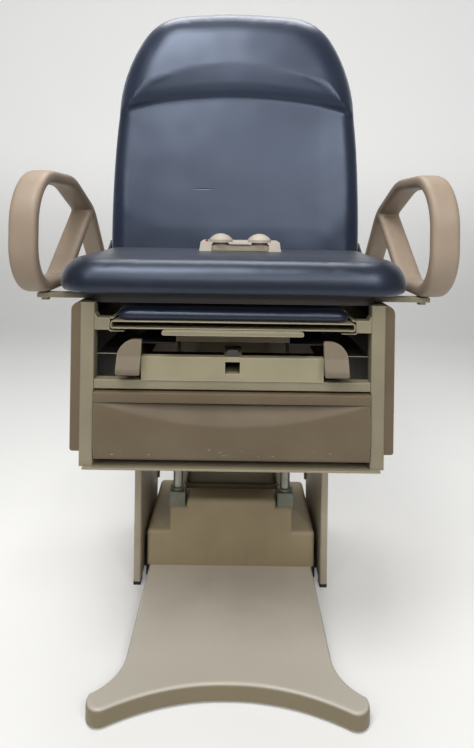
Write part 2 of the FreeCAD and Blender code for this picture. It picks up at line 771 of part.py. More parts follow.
def rail_strip(path, radii):
    """A strip along a path whose section is rounded off towards both side faces."""
    steps = []
    for degrees in (0, 30, 60, 90):
        turn = math.radians(degrees)
        half = RAIL_HALF - RAIL_EDGE * (1 - math.sin(turn))
        steps.append((RAIL_EDGE * (1 - math.cos(turn)), half))
    steps += [(RAIL_WIDE - x, half) for x, half in reversed(steps)]
    return Part.makeLoft([band(path, radii, half, in_side(RAIL_IN + x)) for x, half in steps], True, True)


def assist_rail():
    """Moulded grab loop: an arch from the rear bar to the front, turned back up as a brace."""
    y = SEAT_FRONT
    foot = CHASSIS_TOP + BAR_THICK
    low = foot + RAIL_HALF
    front = y + RAIL_HALF - 1
    knee = (y + 330, 968)
    arch = [(y + 618, foot - 16), (y + 432, 1040), (y + 255, RAIL_TOP), (front, RAIL_TOP), (front, low),
            (y + 215, low), knee]
    turns = (160, 190, 105, 95, 60)
    loop = rail_strip(arch, turns)
    brace = rail_strip([knee, (y + 424, 1046)], ())
    below = box(RAIL_IN - 1, RAIL_IN + RAIL_WIDE + 1, y, y + 700, foot - 60, foot)
    return fused(loop, brace).cut(below)


def rail_bars():
    """Flat bars from the frame out to the feet of the assist rails."""
    outer = RAIL_IN + RAIL_WIDE - 30
    bars = []
    for y in (FRONT_BAR, REAR_BAR):
        bar = box(BOARD_HALF + 2, outer, y, y + BAR_DEEP, CHASSIS_TOP, CHASSIS_TOP + BAR_THICK)
        bars += [bar, mirrored(bar)]
    return Part.makeCompound(bars)


def rail_bolts():
    """Bolt heads under the flat bars."""
    radius, tall = 9.0, 6.0
    bolts = []
    for y in (FRONT_BAR, REAR_BAR):
        bolt = post(RAIL_IN + 14, y + BAR_DEEP / 2, CHASSIS_TOP - tall, CHASSIS_TOP, radius)
        bolts += [bolt, mirrored(bolt)]
    return Part.makeCompound(bolts)


# Tilting back, drawn lying flat and then raised

def raised(shape):
    return shape.rotated(V(0, HINGE_Y, HINGE_Z), ACROSS, BACK_ANGLE)


def shoulder_edges(inset, lift):
    """The right half of the back's rounded top, from lift above the foot of its long shoulder."""
    turned = math.sin(SHOULDER_TURN)
    crown_r = (SHOULDER - SHOULDER_R * turned) / (1 - turned)
    side_c = V(BACK_WIDTH / 2 - SHOULDER_R, HINGE_Y + BACK_LENGTH - SHOULDER, 0)
    crown_c = polar(side_c, SHOULDER_R - crown_r, SHOULDER_TURN)
    start = polar(side_c, SHOULDER_R - inset, math.asin(lift / (SHOULDER_R - inset)))
    knee = polar(side_c, SHOULDER_R - inset, SHOULDER_TURN)
    end = polar(crown_c, crown_r - inset, TOP_TURN)
    return start, end, [arc_about(side_c, start, knee), arc_about(crown_c, knee, end)]


def closed_over(right, end, foot, z):
    """A symmetric outline: its right half, that half mirrored, an arched top and a lower edge."""
    left = [mirrored(edge) for edge in right]
    peak = V(0, end.y + end.x * math.tan((math.pi / 2 - TOP_TURN) / 2), 0)
    edges = right + left + [arc(end, peak, V(-end.x, end.y, 0)), foot]
    return placed(Part.__sortEdges__(edges), in_plan(z))


def back_outline(inset, z):
    """The back's outline: swelling sides, long shoulders and an arched top."""
    start, end, top = shoulder_edges(inset, 0.0)
    foot_r = max(BACK_CORNER - inset, LEAST_CORNER)
    foot_c = V(BACK_WIDTH / 2 - inset - foot_r, HINGE_Y - PAD_THICK / 2 + inset + foot_r, 0)
    heel = foot_c + V(0, -foot_r, 0)
    hip = foot_c + V(foot_r, 0, 0)
    right = [arc_about(foot_c, heel, hip), drawn_in(hip, start, V(0, hip.y, 0), -BACK_SWELL)] + top
    return closed_over(right, end, line(V(-heel.x, heel.y, 0), heel), z)


def pillow_outline(inset, lift, z):
    """The head pillow's outline: the rounded top of the back, closed by an arch below."""
    middle_lift, end_lift = (reach * lift for reach in PILLOW_LIFT)
    start, end, top = shoulder_edges(inset, end_lift)
    middle = V(0, HINGE_Y + BACK_LENGTH - PILLOW_ARCH + middle_lift, 0)
    return closed_over(top, end, arc(V(-start.x, start.y, 0), middle, start), z)


def back_cushion():
    """Back pad with its crown and rolled edges, and the head pillow that swells out of it."""
    sections = []
    for rise, inset in pad_profile(PAD_THICK, PAD_ROLL):
        sections.append(back_outline(inset, PAD_BOTTOM + rise))
    waist = PAD_THICK * PAD_WAIST
    crease = PAD_THICK - PAD_CROWN
    tall = PAD_THICK + PILLOW_RISE - waist
    swell = []
    for degrees in (8, 20, 33, 46, 58, 70, 80, 90):
        turn = math.radians(degrees)
        rise = waist + tall * math.sin(turn)
        inset = 2 * PAD_ROLL * (1 - math.cos(turn)) + 1
        lift = max(rise - crease, 0.0) / (PILLOW_RISE + PAD_CROWN)
        swell.append(pillow_outline(inset, lift ** 2, PAD_BOTTOM + rise))
    return raised(Part.makeLoft(sections, True, True).fuse(Part.makeLoft(swell, True, True)))


def back_board():
    """Plywood behind the back cushion."""
    low = HINGE_Y + 30
    high = HINGE_Y + BACK_LENGTH - 50
    wire = oblong(BACK_BOARD_HALF, low, high, 10, 140, in_plan(PAD_BOTTOM - BACK_BOARD_THICK))
    return raised(prism(wire, V(0, 0, BACK_BOARD_THICK)))


def back_arm():
    """Bent steel arm from the hinge pin to the back board, with a lug for the gas spring."""
    near = HINGE_Y + 32
    far = HINGE_Y + 56
    end = HINGE_Y + 90
    turn_in = 300.0
    under = PAD_BOTTOM - BACK_BOARD_THICK
    low = under - 4
    eye = pin_x(ARM_X, ARM_X + ARM_THICK, HINGE_Y, HINGE_Z, ARM_EYE_R)
    points = [(HINGE_Y, HINGE_Z - ARM_EYE_R), (near, low), (far, low), (far, under + 8),
              (HINGE_Y + 4, HINGE_Z + ARM_EYE_R - 2)]
    plate = prism(polygon(points, in_side(ARM_X)), V(ARM_THICK, 0, 0))
    flange = box(turn_in, ARM_X, near, far, low, under)
    bend = box(turn_in, turn_in + 30, near, end, low, under)
    tail = box(200, turn_in, end - 28, end, low, under)
    lug = box(GAS_X - 14, GAS_X - 9, end - 38, end, HINGE_Z + GAS_LUG[1] - 8, low)
    hole = pin_x(ARM_X - 1, ARM_X + ARM_THICK + 1, HINGE_Y, HINGE_Z, HINGE_R + FIT)
    return raised(fused(eye, plate, flange, bend, tail, lug).cut(hole))


# Gas springs, drawn along +Y from their lower pivot and then turned to the raised back

def along_gas(shape):
    return shape.rotated(V(0, GAS_Y, GAS_Z), ACROSS, math.degrees(GAS_REST))


def rod_y(start, length, radius):
    return Part.makeCylinder(radius, length, V(GAS_X, GAS_Y + start, GAS_Z), V(0, 1, 0))


def gas_eye(reach, radius):
    return pin_x(GAS_X - GAS_EYE, GAS_X + GAS_EYE, GAS_Y + reach, GAS_Z, radius)


def gas_barrel():
    """Lower half of a gas spring, hung on the pin of a side rail."""
    eye_r = 9.0
    closed_end = 55.0
    barrel = fused(gas_eye(0, eye_r), rod_y(0, GAS_BARREL, GAS_BARREL_R))
    barrel = barrel.cut(rod_y(closed_end, GAS_BARREL, GAS_ROD_R + GAP))
    return along_gas(barrel.cut(pin_x(GAS_X - eye_r, GAS_X + eye_r, GAS_Y, GAS_Z, GAS_ROD_R + FIT)))


def gas_rod():
    """Polished rod of a gas spring, with its upper eye."""
    start = GAS_BARREL - 30
    return along_gas(fused(rod_y(start, GAS_LONG - start, GAS_ROD_R), gas_eye(GAS_LONG, GAS_EYE)))


# Pull-out pieces at the foot end

def extension_tray():
    """Flat folded sleeve that slides in the guides under the seat."""
    bend = 5.0
    inside = bend - SHEET
    length = V(0, BAY_BACK - 4 - TRAY_FRONT, 0)
    outer = oblong(TRAY_HALF, TRAY_LOW, TRAY_TOP, bend, bend, in_front(TRAY_FRONT))
    inner = oblong(TRAY_HALF - SHEET, TRAY_LOW + SHEET, TRAY_TOP - SHEET, inside, inside,
                   in_front(TRAY_FRONT))
    return prism(outer, length).cut(prism(inner, length))


def leg_pad():
    """Thin crowned pad on the tray."""
    back = BAY_BACK - 4
    sections = []
    for rise, inset in pad_profile(LEG_PAD_THICK, LEG_PAD_ROLL):
        rounds = max(LEG_PAD_CORNER - inset, LEAST_CORNER - 2)
        sections.append(oblong(LEG_PAD_HALF - inset, TRAY_FRONT + inset, back - inset, rounds, rounds,
                               in_plan(TRAY_TOP + rise), PAD_DRAW / 2))
    return Part.makeLoft(sections, True, True)


def pull_bar():
    """Front handle of the leg extension, hung under the tray."""
    front = TRAY_FRONT - 12
    deep = 26.0
    top = TRAY_LOW - 0.5
    grip = prism(oblong(GRIP_HALF, GRIP_LOW, top, 4, 3, in_front(front)), V(0, deep, 0))
    seam = box(4 - GRIP_HALF, GRIP_HALF - 4, front + 6, front + deep, top - 0.5, TRAY_LOW)
    return fused(grip, seam)


def stirrup():
    """Square bar that slides in its tube, with a curved foot rest on its end, folded flat."""
    half = 13.0
    neck = 9.0
    thick = 16.0
    low, high = 703.0, 775.0
    x, z = STIRRUP_X, STIRRUP_Z
    front = CHASSIS_FRONT - 18
    start = CHASSIS_FRONT + 2
    bar = box(x - half, x + half, start, BAY_BACK - 4, z - half, z + half)
    wide = 60.0
    corners = [(x - 20, low, 4), (x + 28, low, 4), (x + 25, high, 36), (x - 23, high, 4)]
    tab = prism(outline(corners, in_front(front - thick)), V(0, 2 * thick, 0))
    kick = [(front + 4, high + 1, 1), (front + 3, z + 22, 20), (front - 5, z - 6, 14), (front, low, 5),
            (front + thick, low, 2), (front + thick, high + 1, 1)]
    tab = tab.common(prism(outline(kick, in_side(x - wide / 2)), V(wide, 0, 0)))
    return fused(bar, tab, box(x - neck, x + neck, front + thick, start, z - neck, z + neck))


def drawer_front():
    """Drawer front with a swelling lower face and a finger groove under its top strip."""
    front = CHASSIS_FRONT - 8
    back = front + 26
    deep = front + 14
    strip = front + 2
    belly = DRAWER_LOW + 65
    low_lip, high_lip = 622.0, 645.0
    foot = V(0, front + 6, DRAWER_LOW)
    brow = V(0, front + 3, low_lip)
    run = [brow, V(0, deep, low_lip + 6), V(0, deep, high_lip - 4), V(0, strip, high_lip),
           V(0, strip, DRAWER_TOP), V(0, back, DRAWER_TOP), V(0, back, DRAWER_LOW), foot]
    edges = [arc(foot, V(0, front, belly), brow)] + [line(a, b) for a, b in zip(run, run[1:])]
    return prism(Part.Wire(edges), V(2 * DRAWER_HALF, 0, 0)).translated(V(-DRAWER_HALF, 0, 0))


def drawer_box():
    """Open drawer tray with a slide along each side."""
    wall = 4.0
    half = 13.0
    front = CHASSIS_FRONT + 18
    outer = box(-BIN_HALF, BIN_HALF, front, BAY_BACK, BIN_LOW, BIN_TOP)
    inside = box(wall - BIN_HALF, BIN_HALF - wall, front + wall, BAY_BACK - wall,
                 BIN_LOW + wall, BIN_TOP + 1)
    slide = box(BIN_HALF, DRAWER_HALF - 1, CHASSIS_FRONT + 42, BAY_BACK - 8, SLIDE_Z - half, SLIDE_Z + half)
    return fused(outer.cut(inside), slide, mirrored(slide))


def treatment_pan():
    """Shallow pan that pulls out under the leg extension."""
    wall = 3.0
    half = PAN_LIP_HALF
    front = CHASSIS_FRONT + 24
    outer = box(-half, half, front, BAY_BACK, PAN_LOW, PAN_TOP)
    inside = box(wall - half, half - wall, front + wall, BAY_BACK - wall, PAN_LOW + wall, PAN_TOP + 1)
    return outer.cut(inside)


def pan_guides():
    """Angle strips on the stirrup tubes that carry the pan."""
    thick = 3.0
    front = CHASSIS_FRONT + 30
    back = BAY_BACK - 10
    low = PAN_LOW - 2 * thick
    inner = PAN_LIP_HALF + 1
    outer = STIRRUP_X - 4.5
    strip = box(inner, outer, front, back, low, low + thick)
    lip = box(inner - thick, inner, front, back, low, PAN_LOW - 1)
    hanger = box(STIRRUP_X - STIRRUP_TUBE, outer, front, back, STIRRUP_Z + STIRRUP_TUBE, low)
    return pair(fused(strip, lip, hanger))


# Hand control resting on the seat

def control_housing():
    """Low housing with two end blocks and a recessed front between them."""
    low = SEAT_TOP + GAP
    high = low + CONTROL_TALL
    front = CONTROL_Y - CONTROL_DEEP / 2
    slim = CONTROL_HALF - CONTROL_TAPER
    half, deep, tall = 72.0, 8.0, 18.5
    well_low = high - BUTTON_SINK - BUTTON_TRAVEL - 1
    ends = [(-CONTROL_HALF, low), (CONTROL_HALF, low), (slim, high), (-slim, high)]
    shell = prism(polygon(ends, in_front(front)), V(0, CONTROL_DEEP, 0))
    shell = shell.cut(box(-half, half, front - 1, front + deep, low - 1, low + tall))
    for x in (-BUTTON_X, BUTTON_X):
        shell = shell.cut(post(x, BUTTON_Y, well_low, high + 1, BUTTON_R + 1))
        shell = shell.cut(post(x, BUTTON_Y, low + 3, high, BUTTON_STEM_R + 0.5))
    return shell.translated(V(CONTROL_X, 0, 0))


def control_button(side):
    """Mushroom push button on a stem."""
    x, y = CONTROL_X + side * BUTTON_X, BUTTON_Y
    low = SEAT_TOP + GAP + CONTROL_TALL - BUTTON_SINK
    rim = low + 7
    stem = 12.0
    ball = (BUTTON_R ** 2 + BUTTON_RISE ** 2) / (2 * BUTTON_RISE)
    dome = Part.makeSphere(ball, V(x, y, rim + BUTTON_RISE - ball))
    cap = dome.common(post(x, y, rim, rim + 2 * BUTTON_RISE, BUTTON_R))
    return fused(cap, post(x, y, low, rim, BUTTON_R), post(x, y, low - stem, low, BUTTON_STEM_R))


NODES = {
    "foot_plate": foot_plate,
    "levelling_feet": levelling_feet,
    "base_frame": base_frame,
    "base_shroud": base_shroud,
    "base_uprights": lambda: pair(base_upright()),
    "upright_brackets": upright_brackets,
    "guide_blocks": guide_blocks,
    "column_base": lambda: column_stage(0),
    "column_stage_1": lambda: column_stage(1),
    "column_stage_2": lambda: column_stage(2),
    "column_top": lambda: column_stage(3),
    "guide_rods_1": lambda: guide_rods(1),
    "guide_rods_2": lambda: guide_rods(2),
    "guide_rods_top": lambda: guide_rods(3),
    "ram_barrel": lambda: ram_stage(0),
    "ram_stage_1": lambda: ram_stage(1),
    "ram_stage_2": lambda: ram_stage(2),
    "ram_rod": lambda: ram_stage(3),
    "pump_motor": pump_motor,
    "oil_tank": oil_tank,
    "power_inlet": power_inlet,
    "lift_plate": lift_plate,
    "frame_posts": frame_posts,
    "side_rails": side_rails,
    "seat_beams": seat_beams,
    "front_rail": front_rail,
    "stirrup_crossbar": stirrup_crossbar,
    "bottom_flanges": bottom_flanges,
    "side_cover_right": side_cover,
    "side_cover_left": lambda: mirrored(side_cover()),
    "rear_cover": rear_cover,
    "cover_screws": cover_screws,
    "extension_guides": extension_guides,
    "stirrup_tubes": stirrup_tubes,
    "drawer_runners": drawer_runners,
    "pan_guides": pan_guides,
    "seat_board": seat_board,
    "seat_cushion": seat_cushion,
    "back_hinge_brackets": lambda: pair(back_hinge_bracket()),
    "hinge_pins": lambda: pair(hinge_pin()),
    "assist_rail_right": assist_rail,
    "assist_rail_left": lambda: mirrored(assist_rail()),
    "rail_bars": rail_bars,
    "rail_bolts": rail_bolts,
    "back_cushion": back_cushion,
    "back_board": back_board,
    "back_arms": lambda: pair(back_arm()),
    "gas_spring_barrels": lambda: pair(gas_barrel()),
    "gas_spring_rods": lambda: pair(gas_rod()),
    "extension_tray": extension_tray,
    "leg_pad": leg_pad,
    "pull_bar": pull_bar,
    "stirrup_right": stirrup,
    "stirrup_left": lambda: mirrored(stirrup()),
    "drawer_front": drawer_front,
    "drawer_box": drawer_box,
    "treatment_pan": treatment_pan,
    "control_housing": control_housing,
    "button_up": lambda: control_button(1),
    "button_down": lambda: control_button(-1),
}

print("gas spring: turn", math.degrees(GAS_FLAT - GAS_REST), "stroke", GAS_LONG - GAS_SHORT)
os.makedirs("parts", exist_ok=True)
for name, make in NODES.items():
    shape = make()
    shape.exportStep("parts/" + name + ".step")
    size = shape.BoundBox
    print(name, len(shape.Solids), shape.isValid(), round(shape.Volume / 1000), "cm3",
          [round(n, 1) for n in (size.XMin, size.XMax, size.YMin, size.YMax, size.ZMin, size.ZMax)])
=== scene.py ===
import json
import math

import bmesh
import bpy
from mathutils import Matrix, Vector


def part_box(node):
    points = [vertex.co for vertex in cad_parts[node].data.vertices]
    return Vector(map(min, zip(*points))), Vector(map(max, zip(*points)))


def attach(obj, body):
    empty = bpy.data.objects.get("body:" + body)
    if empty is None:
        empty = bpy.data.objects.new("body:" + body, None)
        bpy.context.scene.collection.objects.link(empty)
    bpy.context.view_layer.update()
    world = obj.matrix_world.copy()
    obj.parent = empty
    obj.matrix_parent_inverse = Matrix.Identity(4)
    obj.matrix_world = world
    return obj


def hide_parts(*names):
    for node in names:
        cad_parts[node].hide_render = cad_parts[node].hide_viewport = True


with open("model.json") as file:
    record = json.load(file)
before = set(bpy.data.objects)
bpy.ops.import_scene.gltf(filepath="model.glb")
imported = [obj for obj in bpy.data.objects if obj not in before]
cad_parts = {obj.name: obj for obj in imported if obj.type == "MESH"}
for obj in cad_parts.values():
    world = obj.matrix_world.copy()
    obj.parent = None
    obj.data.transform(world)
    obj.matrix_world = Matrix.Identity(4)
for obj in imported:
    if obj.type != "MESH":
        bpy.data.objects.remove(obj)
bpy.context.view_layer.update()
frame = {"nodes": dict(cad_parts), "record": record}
solids = frame["nodes"]


# Foot plate: one broad steel plate with two splayed toes and a hollowed front edge.
# Stove-enamelled in a pale warm grey, scuffed by shoes and castors, standing on rubber screw feet.

class Tone:
    """A shader socket in a Python expression: sums and products add their own Math nodes."""

    def __init__(self, tree, socket=None):
        self.tree = tree
        self.socket = socket

    def node(self, kind, settings, inputs, output=0):
        """Any node: its type, its settings, then the values or links of its sockets."""
        made = self.tree.nodes.new("ShaderNode" + kind)
        for name, value in settings.items():
            setattr(made, name, value)
        self.feed(made, inputs)
        return Tone(self.tree, made.outputs[output])

    def feed(self, made, inputs):
        for name, value in inputs.items():
            if isinstance(value, Tone):
                self.tree.links.new(value.socket, made.inputs[name])
            else:
                made.inputs[name].default_value = value

    def maths(self, operation, first, second):
        return self.node("Math", {"operation": operation}, {0: first, 1: second})

    def __add__(self, other):
        return self.maths("ADD", self, other)

    def __radd__(self, other):
        return self.maths("ADD", other, self)

    def __sub__(self, other):
        return self.maths("SUBTRACT", self, other)

    def __rsub__(self, other):
        return self.maths("SUBTRACT", other, self)

    def __mul__(self, other):
        return self.maths("MULTIPLY", self, other)

    def __rmul__(self, other):
        return self.maths("MULTIPLY", other, self)

    def eased(self, low, high):
        """0 up to low and 1 from high on, with a soft rise between."""
        return self.node("MapRange", {"interpolation_type": "SMOOTHSTEP"},
                         {"Value": self, "From Min": low, "From Max": high})

    def between(self, first, second):
        """A colour that goes from first to second as this value goes from 0 to 1."""
        return self.node("Mix", {"data_type": "RGBA"}, {0: self, 6: first, 7: second}, 2)

    def place(self, stretch=(1, 1, 1)):
        """Where a point is on the piece, in metres, with each axis scaled."""
        spot = self.node("TexCoord", {}, {}, "Object")
        return self.node("VectorMath", {"operation": "MULTIPLY"}, {0: spot, 1: stretch})

    def along(self, axis):
        """How far a point lies along one axis, in metres."""
        return self.node("SeparateXYZ", {}, {"Vector": self.place()}, axis)

    def facing(self, axis):
        """1 where the surface faces along one axis, -1 where it faces the other way."""
        normal = self.node("NewGeometry", {}, {}, "Normal")
        return self.node("SeparateXYZ", {}, {"Vector": normal}, axis)

    def noise(self, spot, scale, detail=3.0):
        return self.node("TexNoise", {}, {"Vector": spot, "Scale": scale, "Detail": detail})

    def cells(self, spot, scale):
        """Distance to the nearest of many scattered points."""
        return self.node("TexVoronoi", {}, {"Vector": spot, "Scale": scale})

    def edge(self, radius):
        """High along sharp outer and inner edges, where hands and shoes rub."""
        soft = self.node("Bevel", {"samples": 6}, {"Radius": radius}, "Normal")
        true = self.node("NewGeometry", {}, {}, "Normal")
        agree = self.node("VectorMath", {"operation": "DOT_PRODUCT"}, {0: soft, 1: true}, "Value")
        return (1 - agree).eased(0.02, 0.25)

    def bump(self, height, distance, strength=1.0):
        return self.node("Bump", {}, {"Height": height, "Distance": distance, "Strength": strength})


def paint(red, green, blue):
    """A colour given as screen values from 0 to 255."""
    linear = []
    for value in (red, green, blue):
        share = value / 255
        linear.append(share / 12.92 if share <= 0.04045 else ((share + 0.055) / 1.055) ** 2.4)
    return (*linear, 1.0)


def finish(name, build):
    """A material; build takes a Tone on its tree and gives the shader's sockets."""
    material = bpy.data.materials.new(name)
    material.use_nodes = True
    start = Tone(material.node_tree)
    start.feed(material.node_tree.nodes["Principled BSDF"], build(start))
    return material


def dress(material, *names):
    """Give solids that keep their own shape a finish."""
    for name in names:
        solids[name].data.materials.clear()
        solids[name].data.materials.append(material)


def ease_edges(width, *names):
    """Break the sharp edges of solids, as folding, moulding or paint does."""
    for name in names:
        weld = solids[name].modifiers.new("weld", "WELD")
        weld.merge_threshold = 1e-5
        bevel = solids[name].modifiers.new("edges", "BEVEL")
        bevel.width = width
        bevel.segments = 3
        bevel.limit_method = "ANGLE"
        bevel.angle_limit = math.radians(40)
        solids[name].modifiers.new("shading", "WEIGHTED_NORMAL")


# painted light: along Y, the foot plate's paint goes from its lighter back, behind the first value, to its
# darker front, past the second
PAINTED_LIGHT_FROM, PAINTED_LIGHT_TO = -0.15, -0.4


def pale_enamel(tone):
    """Enamel, darker on its rim with painted shade and lighter at its back than at its front with painted
    light.
    """
    spot = tone.place()
    cloud = tone.noise(spot, 5.0, 5.0).eased(0.35, 0.75)
    scuffs = tone.noise(tone.place((60, 4, 60)), 1.0, 4.0).eased(0.66, 0.78)
    specks = 1 - tone.cells(spot, 38.0).eased(0.02, 0.05)
    colour = cloud.between(paint(208, 199, 184), paint(194, 185, 170))
    # painted light: the back of the plate keeps the lighter enamel and the front turns darker, to make up for
    # the shade the upper body casts on the back part
    colour = tone.along("Y").eased(PAINTED_LIGHT_TO, PAINTED_LIGHT_FROM).between(paint(186, 179, 165), colour)
    # painted shade: faces that don't face up, the rim and the toes' sides, are written much darker for the
    # light they miss
    colour = tone.facing("Z").eased(0.35, 0.85).between(paint(122, 111, 86), colour)
    colour = (scuffs * 0.25).between(colour, paint(140, 130, 115))
    colour = (specks * 0.6).between(colour, paint(70, 64, 56))
    colour = (tone.edge(0.004) * 0.35).between(colour, paint(205, 198, 180))
    peel = tone.noise(spot, 260.0, 2.0)
    return {"Base Color": colour, "Roughness": 0.36 + 0.16 * cloud + 0.1 * scuffs,
            "Normal": tone.bump(peel, 0.0006, 0.25)}


dress(finish("pale_enamel", pale_enamel), "foot_plate")


def rubber(tone):
    spot = tone.place()
    dust = tone.noise(spot, 40.0, 5.0).eased(0.4, 0.8)
    return {"Base Color": dust.between(paint(30, 30, 31), paint(58, 56, 53)), "Roughness": 0.75 + 0.15 * dust,
            "Normal": tone.bump(tone.noise(spot, 700.0), 0.0004, 0.4)}


dress(finish("black_rubber", rubber), "levelling_feet")


# Base pan, angle irons and side panels: folded and welded steel bolted behind the foot plate.
# The hidden irons are black primer; the tall side panels are powder coated beige.

def black_primer(tone):
    spot = tone.place()
    dust = tone.noise(spot, 14.0, 6.0).eased(0.4, 0.8)
    colour = dust.between(paint(27, 27, 30), paint(44, 42, 41))
    return {"Base Color": (tone.edge(0.002) * 0.3).between(colour, paint(84, 80, 76)),
            "Roughness": 0.45 + 0.25 * dust, "Metallic": 0.2,
            "Normal": tone.bump(tone.noise(spot, 400.0), 0.0004, 0.2)}


BLACK_PRIMER = finish("black_primer", black_primer)
dress(BLACK_PRIMER, "base_frame", "upright_brackets")


def powder_coat(light, shade):
    """Textured baked powder on sheet steel, rubbed paler along its folds."""
    def build(tone):
        spot = tone.place()
        cloud = tone.noise(spot, 7.0, 5.0).eased(0.3, 0.8)
        rub = tone.noise(tone.place((90, 90, 9)), 1.0, 4.0).eased(0.64, 0.8)
        colour = cloud.between(light, shade)
        colour = (rub * 0.2).between(colour, paint(96, 88, 72))
        colour = (tone.edge(0.003) * 0.55).between(colour, paint(206, 200, 176))
        peel = tone.noise(spot, 520.0, 2.0) + 0.4 * tone.noise(spot, 150.0)
        return {"Base Color": colour, "Roughness": 0.44 + 0.14 * cloud,
                "Normal": tone.bump(peel, 0.0005, 0.25)}
    return build


dress(finish("panel_beige", powder_coat(paint(176, 165, 144), paint(158, 146, 126))), "base_uprights")
ease_edges(0.0015, "base_uprights", "upright_brackets")


# Base shroud and column covers: thin mouldings over the lift, with a fine spark-eroded texture.
# The cover steps down to the guide blocks; the column telescopes out of its raised middle.

def moulding(light, shade, grain=900.0):
    """Matt moulded plastic, a little polished where it is touched."""
    def build(tone):
        spot = tone.place()
        cloud = tone.noise(spot, 6.0, 4.0).eased(0.3, 0.8)
        smear = tone.noise(tone.place((30, 30, 5)), 1.0, 5.0).eased(0.55, 0.8)
        colour = cloud.between(light, shade)
        colour = (smear * 0.15).between(colour, paint(82, 72, 58))
        colour = (tone.edge(0.003) * 0.4).between(colour, paint(176, 163, 140))
        texture = tone.noise(spot, grain, 2.0)
        return {"Base Color": colour, "Roughness": 0.48 + 0.12 * cloud - 0.08 * smear,
                "Normal": tone.bump(texture, 0.0006, 0.3)}
    return build


dress(finish("shroud_taupe", moulding(paint(160, 145, 114), paint(146, 130, 101))), "base_shroud")
# painted shade: the column covers take the shroud's moulding written much darker, for the shade of the upper
# body over them
COLUMN_SHADED_TAUPE = finish("column_shaded_taupe", moulding(paint(104, 94, 72), paint(92, 82, 62)))
dress(COLUMN_SHADED_TAUPE, "column_base", "column_stage_1", "column_stage_2", "column_top")


def black_plastic(tone):
    spot = tone.place()
    dust = tone.noise(spot, 30.0, 5.0).eased(0.4, 0.8)
    return {"Base Color": dust.between(paint(24, 24, 25), paint(46, 44, 42)), "Roughness": 0.5 + 0.2 * dust,
            "Normal": tone.bump(tone.noise(spot, 800.0), 0.0004, 0.3)}


dress(finish("black_plastic", black_plastic), "pump_motor", "oil_tank", "power_inlet")


# Guide blocks, guide rods and lift ram: cast aluminium blocks on the shroud's ledge,
# round ground rods that telescope in them, and the ram hidden inside the column.

def cast_grey(tone):
    spot = tone.place()
    cloud = tone.noise(spot, 30.0, 5.0).eased(0.3, 0.8)
    colour = cloud.between(paint(122, 124, 110), paint(102, 104, 92))
    colour = (tone.edge(0.002) * 0.6).between(colour, paint(190, 190, 178))
    return {"Base Color": colour, "Roughness": 0.42 + 0.2 * cloud, "Metallic": 0.35,
            "Normal": tone.bump(tone.noise(spot, 420.0), 0.0005, 0.35)}


dress(finish("cast_grey", cast_grey), "guide_blocks", "ram_barrel")


def ground_steel(tone):
    lines = tone.noise(tone.place((40, 40, 900)), 1.0, 4.0)
    film = tone.noise(tone.place(), 18.0, 4.0).eased(0.35, 0.75)
    colour = film.between(paint(158, 156, 147), paint(134, 131, 121))
    return {"Base Color": colour, "Metallic": 0.75, "Roughness": 0.32 + 0.12 * film + 0.1 * lines,
            "Normal": tone.bump(lines, 0.0002, 0.3)}


GROUND_STEEL = finish("ground_steel", ground_steel)
dress(GROUND_STEEL, "guide_rods_1", "guide_rods_2", "guide_rods_top", "ram_stage_1", "ram_stage_2", "ram_rod")


# Upper body frame: welded square posts, rails and cross beams, with a front rail and crossbar.
# The parts in view are powder coated beige; lift plate, side rails and beams are black primer.

# painted shade: the frame's beige is written as dark as the less-lit posts look, darker than the crossbar's
# copy of the same coat
FRAME_TONES = paint(130, 122, 100), paint(117, 109, 88)
FRAME_BEIGE = finish("frame_beige", powder_coat(*FRAME_TONES))
dress(FRAME_BEIGE, "frame_posts", "front_rail", "bottom_flanges")


def tube_ends(tone):
    """The frame's powder coat on the ends that face the front; every other face is painted near-black,
    painted shade for the dark these tubes lie in.
    """
    sockets = powder_coat(*FRAME_TONES)(tone)
    # painted shade: this mask marks every face that doesn't face the front, which is written near-black
    inside = tone.facing("Y").eased(-0.8, -0.5)
    sockets["Base Color"] = inside.between(sockets["Base Color"], paint(30, 28, 25))
    return sockets


dress(finish("tube_ends", tube_ends), "stirrup_tubes")


def latched_bar(tone):
    """The bar's powder coat, with the latch that stands above it in dark steel."""
    # painted light: the crossbar's copy of the frame's beige coat is written lighter than FRAME_TONES
    sockets = powder_coat(paint(142, 135, 109), paint(129, 122, 97))(tone)
    bar_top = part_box("stirrup_tubes")[1][2]
    latch = tone.along("Z").eased(bar_top, bar_top + 0.001)
    sockets["Base Color"] = latch.between(sockets["Base Color"], paint(58, 54, 48))
    return sockets


dress(finish("latched_bar", latched_bar), "stirrup_crossbar")
dress(BLACK_PRIMER, "lift_plate", "side_rails", "seat_beams", "drawer_runners", "pan_guides")
ease_edges(0.0016, "front_rail", "stirrup_crossbar", "bottom_flanges", "lift_plate", "seat_beams")


# Side and rear covers: brown moulded panels screwed to the posts, the rear one flat.
# Round-headed screws hold the rear panel.

COVER_TONES = paint(97, 83, 62), paint(86, 72, 52)
COVER_BROWN = finish("cover_brown", moulding(*COVER_TONES))
dress(COVER_BROWN, "side_cover_right", "side_cover_left", "rear_cover")
dress(GROUND_STEEL, "cover_screws")
ease_edges(0.0018, "rear_cover")


# Drawer: a moulded front screwed to a plastic tray that runs on steel slides.
# Under its straight top strip the face is scooped back for the fingers, deepest in the middle.

GROOVE_DROP = 0.0215                  # depth of the top strip, down to its lip
SCOOP_DEEP = 0.019                    # how far back the scoop goes, under the lip
SCOOP_TALL = 0.048
SCOOP_HALF = 0.279
FACE_BELLY = 0.065                    # height of the face's furthest point
FACE_LEAN = 0.006                     # how far the face falls back from there
FACE_STEPS = 30
FACE_COLUMNS = 96


